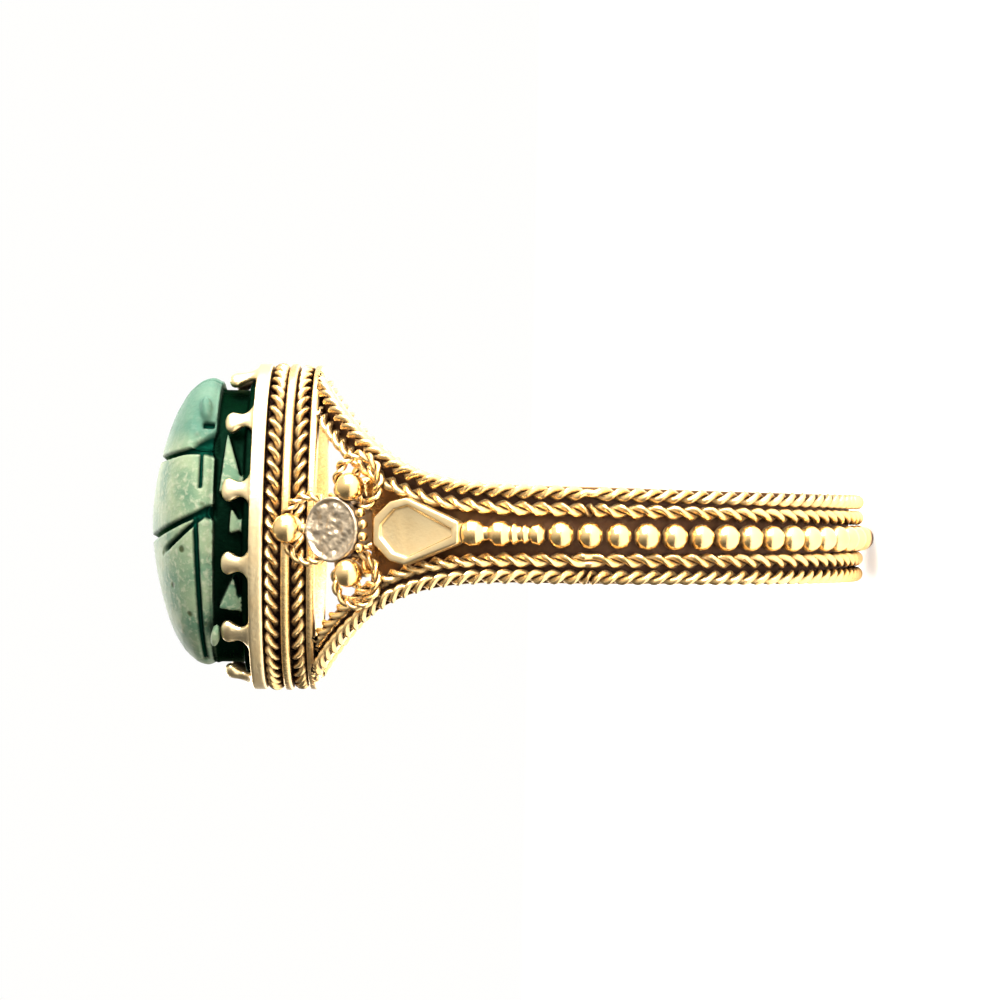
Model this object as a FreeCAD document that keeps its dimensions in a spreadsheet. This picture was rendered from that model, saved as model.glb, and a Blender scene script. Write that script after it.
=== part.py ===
import FreeCAD, Part
import math
import os

from FreeCAD import Rotation, Vector

# A gold finger ring with a carved scarab held in a claw crown.
# Origin: centre of the finger bore. +Z points to the scarab, +Y along the finger
# towards the scarab's head, +X out of the near shoulder. Millimetres.

doc = FreeCAD.newDocument("ScarabRing")
sheet = doc.addObject("Spreadsheet::Sheet", "Sizes")

SIZES = {
    # Finger bore and the plain hoop round it
    "BoreRadius": 8.675,
    "HoopWallBack": 0.49,
    "HoopWallTop": 0.20,
    "BandHalfBack": 1.47,
    "BandTaperShare": 0.0105,
    "FlareStart": 1.0,
    "FlareOuterInset": 1.525,
    "FlareInnerInset": 2.025,
    "FlarePowerShare": 3.75,
    "ForkFoot": 6.75,
    "ArmReach": 1.45,
    # Twisted wires and the row of beads on the hoop
    "RopeRadius": 0.26,
    "RopeStrand": 0.68,
    "BeadRadius": 0.43,
    "BeadGap": 0.015,
    "BeadRowTop": 0.73,
    # Bezel box: a four-centre oval and what is stacked round it
    "HeadGap": 0.02,
    "OvalHalfLength": 4.975,
    "OvalHalfWidth": 3.80,
    "OvalEndShare": 0.8815789474,
    "BezelWall": 0.35,
    "RimHeight": 0.26,
    "RimProud": 0.52,
    "BackRopeRadius": 0.275,
    "WireHeight": 0.29,
    "WireProud": 0.56,
    "FrontRopeRadius": 0.30,
    "HeadStrand": 0.60,
    # Seat and claw crown
    "LedgeHeight": 0.25,
    "LedgeReach": 0.75,
    "CrownInner": 0.20,
    "CrownWall": 0.35,
    "CrownBand": 0.40,
    "ClawRise": 1.05,
    "ClawLean": 0.40,
    "ClawNeck": 0.62,
    "ClawTip": 0.34,
    "NotchCorner": 0.42,
    # Scarab
    "ScarabGap": 0.08,
    "BaseHeight": 0.45,
    "FlankHeight": 1.00,
    "FlankRecess": 0.42,
    "DomeHalfLength": 4.88,
    "DomeHalfWidth": 3.74,
    "DomeHeight": 2.42,
    "DomeForward": 0.14,
    "GrooveWidth": 0.20,
    "GrooveDepth": 0.24,
    "HeadJoint": 2.40,
    "WingJoint": 0.12,
    "BorderHeight": 0.60,
    "LegHeight": 0.38,
    # Trefoil on each shoulder
    "TrefoilClear": 2.20,
    "TrefoilUp": 7.81,
    "TrefoilTilt": 35.0,
    "DiscRadius": 1.06,
    "DiscHeight": 0.32,
    "CollarWire": 0.15,
    "CollarStrand": 0.48,
    "BezelCollarRadius": 1.06,
    "SideCollarRadius": 0.84,
    "SideCollarAcross": 1.57,
    "SideCollarBack": 0.745,
    "BezelBeadRadius": 0.49,
    "SideBeadRadius": 0.46,
    "LinkRadius": 0.16,
    # Leaf plaque and turned stem below it
    "LeafTop": 6.42,
    "LeafLength": 3.24,
    "LeafHalfWidth": 1.06,
    "LeafEndHalf": 0.34,
    "LeafHeight": 0.34,
    "LeafRim": 0.24,
    "LeafSink": 0.12,
    "StemLength": 2.76,
    "StemRadius": 0.43,
    # One overrun serves every cut
    "Overrun": 1.0,
}

for row, (alias, value) in enumerate(SIZES.items(), start=1):
    sheet.set(f"A{row}", alias)
    sheet.set(f"B{row}", str(value))
    sheet.setAlias(f"B{row}", alias)
doc.recompute()


def size(alias):
    """Return one driving size from the sheet."""
    return float(sheet.get(alias))


# Places worked out from the driving sizes
hoop_radius = size("BoreRadius") + (size("HoopWallBack") + size("HoopWallTop")) / 2
hoop_drop = (size("HoopWallBack") - size("HoopWallTop")) / 2
head_back = size("BoreRadius") + size("HeadGap")
rope_circle = hoop_radius + size("RopeRadius")
rope_tops = hoop_radius + 2 * size("RopeRadius")

back_rope_level = head_back + size("RimHeight") + size("BackRopeRadius")
wire_bottom = back_rope_level + size("BackRopeRadius")
front_rope_level = wire_bottom + size("WireHeight") + size("FrontRopeRadius")
seat_bottom = front_rope_level + size("FrontRopeRadius")
seat_top = seat_bottom + size("LedgeHeight")
flank_bottom = seat_top + size("BaseHeight")
dome_bottom = flank_bottom + size("FlankHeight")


def add(kind, label):
    """Add one document object under a plain label."""
    item = doc.addObject(kind, label)
    item.Label = label
    return item


def bind(item, **formulas):
    """Bind properties of an object to cells of the sheet."""
    for name, formula in formulas.items():
        item.setExpression(name.replace("__", "."), formula)


def shaped(label, shape, placement=None):
    """Add a piece whose shape is worked out in code, then place it."""
    item = add("Part::Feature", label)
    item.Shape = shape
    if placement is not None:
        item.Placement = placement
    return item


# The bezel's oval, in closed form


oval_end = size("OvalHalfWidth") * size("OvalEndShare")


def oval_centres():
    """Return the end arc's centre height and the side arc's radius and centre reach."""
    length, width, end = size("OvalHalfLength"), size("OvalHalfWidth"), oval_end
    side = (length ** 2 - 2 * length * end + width ** 2) / (2 * (width - end))
    return length - end, side, side - width


def oval_length(offset):
    """Return the length all round the oval, moved out by offset."""
    end_up, side, side_in = oval_centres()
    turn = math.atan2(end_up, side_in)
    quarter = (side + offset) * turn + (oval_end + offset) * (math.pi / 2 - turn)
    return 4 * quarter


def oval_point(share, offset):
    """Return the point and outward normal at a share of the way round from +X to +Y."""
    end_up, side, side_in = oval_centres()
    turn = math.atan2(end_up, side_in)
    quarter = oval_length(offset) / 4
    count, travel = divmod((share % 1.0) * 4 * quarter, quarter)
    if count % 2:
        travel = quarter - travel
    side_run = (side + offset) * turn
    if travel <= side_run:
        angle = travel / (side + offset)
        centre = Vector(-side_in, 0, 0)
        radius = side + offset
    else:
        radius = oval_end + offset
        angle = turn + (travel - side_run) / radius
        centre = Vector(0, end_up, 0)
    normal = Vector(math.cos(angle), math.sin(angle), 0)
    point = centre + normal * radius
    flip_x = -1 if count in (1, 2) else 1
    flip_y = -1 if count in (2, 3) else 1
    return (
        Vector(point.x * flip_x, point.y * flip_y, 0),
        Vector(normal.x * flip_x, normal.y * flip_y, 0),
    )


def oval_wire(offset, level):
    """Return the oval as four tangent arcs at one height."""
    end_up, side, side_in = oval_centres()
    turn = math.atan2(end_up, side_in)
    end = oval_end + offset
    reach = size("OvalHalfWidth") + offset
    top = size("OvalHalfLength") + offset
    corner = Vector(end * math.cos(turn), end_up + end * math.sin(turn), level)
    corners = [
        Vector(corner.x * sx, corner.y * sy, level)
        for sx, sy in ((1, -1), (1, 1), (-1, 1), (-1, -1))
    ]
    middles = [
        Vector(reach, 0, level),
        Vector(0, top, level),
        Vector(-reach, 0, level),
        Vector(0, -top, level),
    ]
    arcs = [
        Part.Arc(corners[i], middles[i], corners[(i + 1) % 4]).toShape()
        for i in range(4)
    ]
    return Part.Wire(arcs)


# Faceted solids: twisted wire and granules


def faceted_solid(points, triangles):
    """Close flat triangles into one solid, with its faces looking out."""
    surface = Part.Shape()
    surface.makeShapeFromMesh((points, triangles), size("HeadGap") / 100)
    solid = Part.Solid(Part.Shell(surface.Faces))
    if solid.Volume < 0:
        solid.reverse()
    return solid


def twisted_wire(stations, radius, hand, closed):
    """Return a four-strand twisted wire through stations of centre and two cross axes."""
    corners = 4
    points = []
    for index, (centre, across, upward) in enumerate(stations):
        spin = hand * index * math.pi / corners
        for corner in range(corners):
            angle = spin + corner * 2 * math.pi / corners
            points.append(centre + across * radius * math.cos(angle) + upward * radius * math.sin(angle))
    triangles = []
    count = len(stations)
    laps = count if closed else count - 1
    turned = (count // 2) * hand
    for index in range(laps):
        here = index * corners
        there = ((index + 1) % count) * corners
        shift = turned if index + 1 == count else 0
        for corner in range(corners):
            after = (corner + 1) % corners
            low, low_next = here + corner, here + after
            high = there + (corner + shift) % corners
            high_next = there + (after + shift) % corners
            if hand > 0:
                triangles.append((low, low_next, high_next))
                triangles.append((low, high_next, high))
            else:
                triangles.append((low, low_next, high))
                triangles.append((low_next, high_next, high))
    if not closed:
        last = (count - 1) * corners
        triangles += [(0, 2, 1), (0, 3, 2)]
        triangles += [(last, last + 1, last + 2), (last, last + 2, last + 3)]
    return faceted_solid(points, triangles)


def granule(centre, radius):
    """Return a small bead of eight meridians and four belts."""
    meridians, belts = 8, 4
    points = [centre + Vector(0, 0, radius)]
    for belt in range(1, belts):
        polar = math.pi * belt / belts
        for step in range(meridians):
            angle = 2 * math.pi * step / meridians
            points.append(centre + Vector(
                radius * math.sin(polar) * math.cos(angle),
                radius * math.sin(polar) * math.sin(angle),
                radius * math.cos(polar),
            ))
    points.append(centre - Vector(0, 0, radius))
    bottom = len(points) - 1
    triangles = []
    for step in range(meridians):
        after = (step + 1) % meridians
        triangles.append((0, 1 + step, 1 + after))
        for belt in range(belts - 2):
            upper, lower = 1 + belt * meridians, 1 + (belt + 1) * meridians
            triangles.append((upper + step, lower + step, lower + after))
            triangles.append((upper + step, lower + after, upper + after))
        final = 1 + (belts - 2) * meridians
        triangles.append((final + step, bottom, final + after))
    return faceted_solid(points, triangles)


def even_count(length, strand):
    """Return an even number of steps, two to a strand."""
    return 2 * max(2, round(length / strand))


# Hoop and the wires that follow its forked shoulders


def flare(level):
    """Return how far the shoulder has opened at a height, from 0 to 1."""
    start = size("FlareStart")
    rise = max(0.0, level - start) / (head_back - start)
    return rise ** size("FlarePowerShare")


def wire_across(level, row):
    """Return the half spacing of the outer (row 0) or inner (row 1) twisted wires."""
    inset = size("FlareOuterInset") if row == 0 else size("FlareInnerInset")
    spread = size("OvalHalfLength") - inset
    base = size("BandHalfBack") - (1 + 2 * row) * size("RopeRadius")
    taper = size("BandTaperShare") * (level + size("BoreRadius"))
    return base + taper + spread * flare(level)


def hoop_point(angle, radius, across):
    """Return a point on a circle about the hoop's own centre, angle from +Z."""
    return Vector(radius * math.sin(angle), across, radius * math.cos(angle) - hoop_drop)


def side_outline(row, share, top):
    """Return one edge of the hoop in side view, from the back up to the head."""
    bottom = -hoop_radius - size("Overrun")
    knots = [bottom, -size("BoreRadius") / 2, size("FlareStart")]
    rise = top - size("FlareStart")
    knots += [size("FlareStart") + rise * part for part in (0.35, 0.6, 0.8, 0.92, 1.0)]
    reach = size("RopeRadius") * share
    curve = Part.BSplineCurve()
    curve.interpolate([Vector(0, wire_across(level, row) + reach, level) for level in knots])
    return curve.toShape()


def mirrored_face(edge):
    """Return the face between an edge in the YZ plane and its mirror image."""
    low, high = edge.Vertexes[0].Point, edge.Vertexes[-1].Point
    other = edge.mirror(Vector(0, 0, 0), Vector(0, 1, 0))
    bottom = Part.LineSegment(low, Vector(low.x, -low.y, low.z)).toShape()
    top = Part.LineSegment(high, Vector(high.x, -high.y, high.z)).toShape()
    return Part.Face(Part.Wire(Part.sortEdges([edge, top, other, bottom])[0]))


def make_hoop():
    """Plain hoop: bored, trimmed to the side outline and forked at both shoulders."""
    blank = add("Part::Cylinder", "hoop_blank")
    bind(
        blank,
        Radius="Sizes.BoreRadius + (Sizes.HoopWallBack + Sizes.HoopWallTop) / 2",
        Height="2 * (Sizes.OvalHalfLength - Sizes.FlareOuterInset + Sizes.BandHalfBack + Sizes.Overrun)",
        Placement__Base__y="Sizes.OvalHalfLength - Sizes.FlareOuterInset + Sizes.BandHalfBack + Sizes.Overrun",
        Placement__Base__z="(Sizes.HoopWallTop - Sizes.HoopWallBack) / 2",
    )
    bore = add("Part::Cylinder", "finger_hole")
    bind(
        bore,
        Radius="Sizes.BoreRadius",
        Height="2 * (Sizes.OvalHalfLength - Sizes.FlareOuterInset + Sizes.BandHalfBack + 2 * Sizes.Overrun)",
        Placement__Base__y="Sizes.OvalHalfLength - Sizes.FlareOuterInset + Sizes.BandHalfBack + 2 * Sizes.Overrun",
    )
    for cylinder in (blank, bore):
        cylinder.Placement.Rotation = Rotation(Vector(1, 0, 0), 90)
    tube = add("Part::Cut", "hoop_tube")
    tube.Base = blank
    tube.Tool = bore

    outline = shaped("hoop_outline", mirrored_face(side_outline(0, 0.8, head_back)))
    profile = add("Part::Extrusion", "hoop_profile")
    profile.Base = outline
    profile.DirMode = "Custom"
    profile.Dir = Vector(1, 0, 0)
    profile.Symmetric = True
    bind(profile, LengthFwd="2 * (Sizes.BoreRadius + Sizes.HoopWallBack + Sizes.Overrun)")
    band = add("Part::Common", "hoop_band")
    band.Base = tube
    band.Tool = profile

    fork = shaped("fork_gap", make_fork_gap())
    hoop = add("Part::Cut", "shank_hoop")
    hoop.Base = band
    hoop.Tool = fork
    return hoop


def make_fork_gap():
    """Gap between the two arms of each shoulder, seen from the side, cut right through."""
    foot = size("ForkFoot")
    top = head_back + size("Overrun")
    reach = -size("RopeRadius") * 0.8
    levels = [foot + (head_back - foot) * part for part in (0.0, 0.35, 0.7, 1.0)]
    edge = Part.BSplineCurve()
    edge.interpolate([Vector(0, wire_across(level, 1) + reach, level) for level in levels])
    high = Vector(0, wire_across(head_back, 1) + reach, head_back)
    above = Vector(0, high.y, top)
    low = Vector(0, wire_across(foot, 1) + reach, foot)
    side = [edge.toShape(), Part.LineSegment(high, above).toShape()]
    mirrored = [piece.mirror(Vector(0, 0, 0), Vector(0, 1, 0)) for piece in side]
    lid = Part.LineSegment(above, Vector(0, -above.y, top)).toShape()
    floor = Part.LineSegment(low, Vector(0, -low.y, foot)).toShape()
    wire = Part.Wire(Part.sortEdges(side + [lid] + mirrored + [floor])[0])
    face = Part.Face(wire)
    length = 2 * (hoop_radius + size("Overrun"))
    face.translate(Vector(-length / 2, 0, 0))
    gap = face.extrude(Vector(length, 0, 0))
    arm = size("ArmReach")
    between = Part.makeBox(2 * arm, length, top - foot, Vector(-arm, -length / 2, foot))
    return gap.fuse(between)


def make_shank_rope(label, row, side):
    """One twisted wire on the hoop, from one end of the head round to the other."""
    start = math.acos((head_back + size("RopeRadius") / 2 + hoop_drop) / rope_circle)
    samples = 720
    track = []
    for index in range(samples + 1):
        angle = start + (2 * math.pi - 2 * start) * index / samples
        level = rope_circle * math.cos(angle) - hoop_drop
        track.append(hoop_point(angle, rope_circle, side * wire_across(level, row)))
    travelled = [0.0]
    for before, after in zip(track, track[1:]):
        travelled.append(travelled[-1] + (after - before).Length)
    steps = even_count(travelled[-1], size("RopeStrand"))
    stations = []
    cursor = 0
    for step in range(steps + 1):
        target = travelled[-1] * step / steps
        while cursor < samples - 1 and travelled[cursor + 1] < target:
            cursor += 1
        part = (target - travelled[cursor]) / (travelled[cursor + 1] - travelled[cursor])
        centre = track[cursor] + (track[cursor + 1] - track[cursor]) * part
        along = (track[cursor + 1] - track[cursor]).normalize()
        outward = Vector(centre.x, 0, centre.z + hoop_drop).normalize()
        across = along.cross(outward).normalize()
        stations.append((centre, across.cross(along), across))
    hand = 1 if row == 0 else -1
    rope = twisted_wire(stations, size("RopeRadius"), hand * side, False)
    span = size("BoreRadius") + size("Overrun")
    above = Part.makeBox(2 * span, 2 * span, size("Overrun"), Vector(-span, -span, head_back))
    return shaped(label, rope.cut(above))


def make_bead_row():
    """Row of granules down the middle of the hoop, between the inner twisted wires."""
    circle = hoop_radius + size("BeadRadius")
    first = math.acos((size("BeadRowTop") + hoop_drop) / circle)
    span = 2 * (math.pi - first)
    gaps = int(span * circle / (2 * size("BeadRadius") + size("BeadGap")))
    beads = []
    for index in range(gaps + 1):
        angle = first + span * index / gaps
        beads.append(granule(hoop_point(angle, circle, 0), size("BeadRadius")))
    return shaped("bead_row", Part.makeCompound(beads))


# Bezel box


def ring_between(inner, outer, bottom, height):
    """Return a flat oval ring between two offsets of the bezel's oval."""
    rise = Vector(0, 0, height)
    outside = Part.Face(oval_wire(outer, bottom)).extrude(rise)
    inside = Part.Face(oval_wire(inner, bottom)).extrude(rise)
    return outside.cut(inside)


def make_rope_ring(label, radius, level, hand):
    """Twisted wire laid round the bezel's wall."""
    length = oval_length(radius)
    steps = even_count(length, size("HeadStrand"))
    stations = []
    for step in range(steps):
        point, normal = oval_point(step / steps, radius)
        stations.append((point + Vector(0, 0, level), normal, Vector(0, 0, 1)))
    return shaped(label, twisted_wire(stations, radius, hand, True))


def make_bezel():
    """Wall, rims and wires of the bezel box, from the back to the front."""
    wall = size("BezelWall")
    shaped("bezel_wall", ring_between(-wall, 0, head_back, seat_bottom - head_back))
    shaped("back_rim", ring_between(0, size("RimProud"), head_back, size("RimHeight")))
    shaped("plain_wire", ring_between(0, size("WireProud"), wire_bottom, size("WireHeight")))
    make_rope_ring("back_rope", size("BackRopeRadius"), back_rope_level, 1)
    make_rope_ring("front_rope", size("FrontRopeRadius"), front_rope_level, -1)
    ledge = ring_between(-size("LedgeReach"), size("CrownInner"), seat_bottom, size("LedgeHeight"))
    shaped("seat_ledge", ledge)


# Claw crown


def leaning_ring(inner, outer, lean, bottom, height):
    """Return an oval ring whose walls lean inwards as they rise."""
    def body(offset):
        wires = [oval_wire(offset, bottom), oval_wire(offset - lean, bottom + height)]
        return Part.makeLoft(wires, True, True)
    return body(outer).cut(body(inner))


def notch_tool(width, corner, bottom, height, depth):
    """Return a round-cornered notch, opening upwards, that points along +X."""
    half = width / 2
    bend = corner * (1 - math.sqrt(0.5))
    top = bottom + height
    points = {
        "left_top": Vector(0, -half, top),
        "left_low": Vector(0, -half, bottom + corner),
        "left_bend": Vector(0, -half + bend, bottom + bend),
        "floor_left": Vector(0, -half + corner, bottom),
        "floor_right": Vector(0, half - corner, bottom),
        "right_bend": Vector(0, half - bend, bottom + bend),
        "right_low": Vector(0, half, bottom + corner),
        "right_top": Vector(0, half, top),
    }
    edges = [
        Part.LineSegment(points["left_top"], points["left_low"]).toShape(),
        Part.Arc(points["left_low"], points["left_bend"], points["floor_left"]).toShape(),
        Part.LineSegment(points["floor_left"], points["floor_right"]).toShape(),
        Part.Arc(points["floor_right"], points["right_bend"], points["right_low"]).toShape(),
        Part.LineSegment(points["right_low"], points["right_top"]).toShape(),
        Part.LineSegment(points["right_top"], points["left_top"]).toShape(),
    ]
    face = Part.Face(Part.Wire(edges))
    return face.extrude(Vector(depth, 0, 0))


def make_crown():
    """Oval band with twelve claws that lean over the scarab's base."""
    claws = 12
    inner = size("CrownInner")
    outer = inner + size("CrownWall")
    rise = size("ClawRise") - size("ClawTip")
    bend_level = seat_bottom + size("CrownBand")
    band = ring_between(inner, outer, seat_bottom, size("CrownBand"))
    lean = size("ClawLean") * rise / size("ClawRise")
    crown = band.fuse(leaning_ring(inner, outer, lean, bend_level, rise))
    pitch = oval_length(outer) / claws
    depth = outer - inner + size("ClawLean") + 2 * size("Overrun")
    tool = notch_tool(
        pitch - size("ClawNeck"),
        size("NotchCorner"),
        bend_level,
        size("ClawRise") + size("Overrun"),
        depth,
    )
    notches = []
    for index in range(claws):
        point, normal = oval_point(index / claws, outer)
        turn = math.degrees(math.atan2(normal.y, normal.x))
        notch = tool.copy()
        notch.rotate(Vector(0, 0, 0), Vector(0, 0, 1), turn)
        notch.translate(point + normal * (size("Overrun") - depth))
        notches.append(notch)
    crown = crown.cut(Part.makeCompound(notches))
    tips = []
    middle = (inner + outer) / 2
    for index in range(claws):
        point, normal = oval_point((index + 0.5) / claws, middle)
        inward = Vector(-normal.x, -normal.y, 0)
        centre = point + inward * lean + Vector(0, 0, bend_level + rise)
        thickness = size("CrownWall") + size("ClawTip") / 4
        start = centre - inward * (thickness / 2)
        tips.append(Part.makeCylinder(size("ClawTip"), thickness, start, inward))
    return shaped("claw_crown", crown.fuse(tips).removeSplitter())


# Scarab


def make_dome(label, inset):
    """Half-buried ellipsoid of the scarab's back, drawn in by an inset."""
    dome = add("Part::Ellipsoid", label)
    bind(
        dome,
        Radius1=f"Sizes.DomeHeight - {inset}",
        Radius2=f"Sizes.DomeHalfWidth - {inset}",
        Radius3=f"Sizes.DomeHalfLength - {inset}",
        Placement__Base__y="Sizes.DomeForward",
    )
    dome.Angle1 = 0
    dome.Placement.Base.z = dome_bottom
    return dome


def groove_slab(label, across, along, tall, centre, tilt):
    """Return a thin slab that a groove is carved with, tilted about X."""
    slab = Part.makeBox(across, along, tall, Vector(-across / 2, -along / 2, -tall / 2))
    slab.rotate(Vector(0, 0, 0), Vector(1, 0, 0), tilt)
    slab.translate(centre)
    return shaped(label, slab)


def make_scarab():
    """Scarab: base slab, recessed flanks with folded legs, and a grooved back."""
    width = size("GrooveWidth")
    wide = 2 * (size("DomeHalfWidth") + size("Overrun"))
    length = size("DomeHalfLength")
    height = size("DomeHeight")
    half_border = size("BorderHeight")
    wing_joint, head_joint = size("WingJoint"), size("HeadJoint")
    middle = dome_bottom + height / 2

    base_offset = size("CrownInner") - size("ScarabGap")
    base = Part.Face(oval_wire(base_offset, seat_top)).extrude(Vector(0, 0, size("BaseHeight")))
    flank_offset = base_offset - size("FlankRecess")
    flank = Part.Face(oval_wire(flank_offset, flank_bottom))
    flank = flank.extrude(Vector(0, 0, size("FlankHeight")))

    leg_space = Part.Face(oval_wire(base_offset - size("FlankRecess") / 2, flank_bottom))
    leg_space = leg_space.extrude(Vector(0, 0, size("FlankHeight")))
    legs = []
    leg_shares = ((0.44, 0.56, 6), (0.04, 0.30, 48), (-0.50, 0.52, -14))
    for place_share, length_share, tilt in leg_shares:
        bar = Part.makeBox(wide, length * length_share, size("LegHeight"))
        bar.translate(Vector(-wide / 2, -length * length_share / 2, -size("LegHeight") / 2))
        bar.rotate(Vector(0, 0, 0), Vector(1, 0, 0), -tilt)
        bar.translate(Vector(0, length * place_share, flank_bottom + size("FlankHeight") / 2))
        legs.append(bar.common(leg_space))

    back = make_dome("scarab_back", "0")
    core = make_dome("groove_floor", "Sizes.GrooveDepth")
    grooves = [
        groove_slab("head_groove", wide, width, 2 * height, Vector(0, head_joint, middle), -12),
        groove_slab("wing_groove", wide, width, 2 * height, Vector(0, wing_joint, middle), -21),
        groove_slab(
            "wing_seam", width * 0.8, length, 2 * height,
            Vector(0, wing_joint - length / 2, middle + width), 0,
        ),
        groove_slab(
            "wing_border", wide, length - width, width,
            Vector(0, wing_joint - length / 2, dome_bottom + half_border), 0,
        ),
        groove_slab(
            "thorax_border", wide, head_joint * 0.6, width,
            Vector(0, (wing_joint + head_joint) / 2 + width, dome_bottom + half_border), 0,
        ),
    ]
    cheeks = []
    for side in (-1, 1):
        cheek = Part.makeBox(length, length, 2 * height)
        cheek.translate(Vector(0, 0, dome_bottom - height / 2))
        if side < 0:
            cheek.translate(Vector(-length, 0, 0))
        cheek.rotate(Vector(0, 0, 0), Vector(0, 0, 1), side * 24)
        cheek.translate(Vector(side * size("DomeHalfWidth") * 0.72, head_joint + width, 0))
        cheeks.append(cheek)
    head_cut = shaped("head_cheeks", cheeks[0].fuse(cheeks[1]))

    slabs = add("Part::MultiFuse", "groove_slabs")
    slabs.Shapes = grooves
    carving = add("Part::Cut", "groove_carving")
    carving.Base = slabs
    carving.Tool = core
    carved = add("Part::Cut", "carved_back")
    carved.Base = back
    carved.Tool = carving
    headed = add("Part::Cut", "headed_back")
    headed.Base = carved
    headed.Tool = head_cut
    body = shaped("scarab_body", base.multiFuse([flank] + legs))
    scarab = add("Part::MultiFuse", "scarab")
    scarab.Shapes = [headed, body]
    return scarab


# Shoulder ornament


def trefoil_placement(turn):
    """Return the trefoil's own plane: X across the finger, Y to the head, Z outwards."""
    tilt = math.radians(size("TrefoilTilt"))
    outward = Vector(math.cos(tilt), 0, math.sin(tilt))
    headward = Vector(-math.sin(tilt), 0, math.cos(tilt))
    sideways = headward.cross(outward)
    place = FreeCAD.Placement(
        Vector(size("OvalHalfWidth") + size("TrefoilClear"), 0, size("TrefoilUp")),
        Rotation(sideways, headward, outward, "ZXY"),
    )
    return FreeCAD.Placement(Vector(0, 0, 0), Rotation(Vector(0, 0, 1), turn)).multiply(place)


def collar(centre, radius):
    """Return a closed ring of twisted wire lying flat in the trefoil's plane."""
    wire = size("CollarWire")
    steps = even_count(2 * math.pi * radius, size("CollarStrand"))
    stations = []
    for step in range(steps):
        angle = 2 * math.pi * step / steps
        outward = Vector(math.cos(angle), math.sin(angle), 0)
        stations.append((centre + outward * radius, outward, Vector(0, 0, 1)))
    return twisted_wire(stations, wire, 1, True)


def make_trefoil(side, turn):
    """Disc, three collared beads and the granules that tie them to the leaf."""
    place = trefoil_placement(turn)
    wire, disc_radius = size("CollarWire"), size("DiscRadius")
    disc_bottom = wire
    across, back = size("SideCollarAcross"), size("SideCollarBack")
    link = size("LinkRadius")

    disc = Part.makeCylinder(disc_radius, size("DiscHeight"), Vector(0, 0, disc_bottom))
    disc = disc.makeChamfer(size("DiscHeight") / 3, [disc.Edges[0]])
    shaped(f"{side}_trefoil_disc", disc, place)

    bezel_centre = Vector(0, size("BezelCollarRadius") + wire, 0)
    shaped(f"{side}_bezel_collar", collar(bezel_centre, size("BezelCollarRadius")), place)
    side_collars = [
        collar(Vector(sign * across, -back, 0), size("SideCollarRadius"))
        for sign in (-1, 1)
    ]
    shaped(f"{side}_side_collars", Part.makeCompound(side_collars), place)

    bead_level = disc_bottom + size("DiscHeight") / 2
    bezel_bead = size("BezelBeadRadius")
    side_bead = size("SideBeadRadius")
    reach = disc_radius + side_bead
    aim = math.atan2(-back, across)
    beads = [granule(Vector(0, disc_radius + 2 * link + bezel_bead, bead_level), bezel_bead)]
    for sign in (-1, 1):
        centre = Vector(sign * reach * math.cos(aim), reach * math.sin(aim), bead_level)
        beads.append(granule(centre, side_bead))
    shaped(f"{side}_trefoil_beads", Part.makeCompound(beads), place)

    links = [granule(Vector(0, disc_radius + link, bead_level), link)]
    for share in (-1.5, -0.5, 0.5, 1.5):
        angle = -math.pi / 2 + share * 2.1 * link / disc_radius
        centre = Vector(math.cos(angle), math.sin(angle), 0) * (disc_radius + link)
        links.append(granule(centre + Vector(0, 0, bead_level), link))
    shaped(f"{side}_link_granules", Part.makeCompound(links), place)


def make_leaf(side, turn):
    """Flat leaf-shaped plaque with a raised rim, laid over the inner twisted wires."""
    half = size("LeafLength") / 2
    middle = math.acos((size("LeafTop") - half * 0.8 + hoop_drop) / rope_tops)
    wide, end = size("LeafHalfWidth"), size("LeafEndHalf")

    def outline(inset):
        along_shares = (-1.0, 0.24, 0.62, 1.0)
        widths = (end, wide, wide * 0.88, end * 1.25)
        right = [
            Vector(width - inset, share * (half - inset), 0)
            for share, width in zip(along_shares, widths)
        ]
        left = [Vector(-point.x, point.y, 0) for point in reversed(right)]
        return Part.Face(Part.makePolygon(right + left + [right[0]]))

    plate = outline(0).extrude(Vector(0, 0, size("LeafHeight")))
    sunk = outline(size("LeafRim")).extrude(Vector(0, 0, size("LeafHeight")))
    sunk.translate(Vector(0, 0, size("LeafHeight") - size("LeafSink")))
    shaped(f"{side}_leaf_plaque", plate.cut(sunk), tangent_placement(middle, rope_tops, turn))


def tangent_placement(angle, radius, turn):
    """Return a plane touching a circle of the hoop: Y towards the head, Z outwards."""
    outward = Vector(math.sin(angle), 0, math.cos(angle))
    headward = Vector(-math.cos(angle), 0, math.sin(angle))
    place = FreeCAD.Placement(
        hoop_point(angle, radius, 0),
        Rotation(headward.cross(outward), headward, outward, "ZXY"),
    )
    return FreeCAD.Placement(Vector(0, 0, 0), Rotation(Vector(0, 0, 1), turn)).multiply(place)


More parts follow.
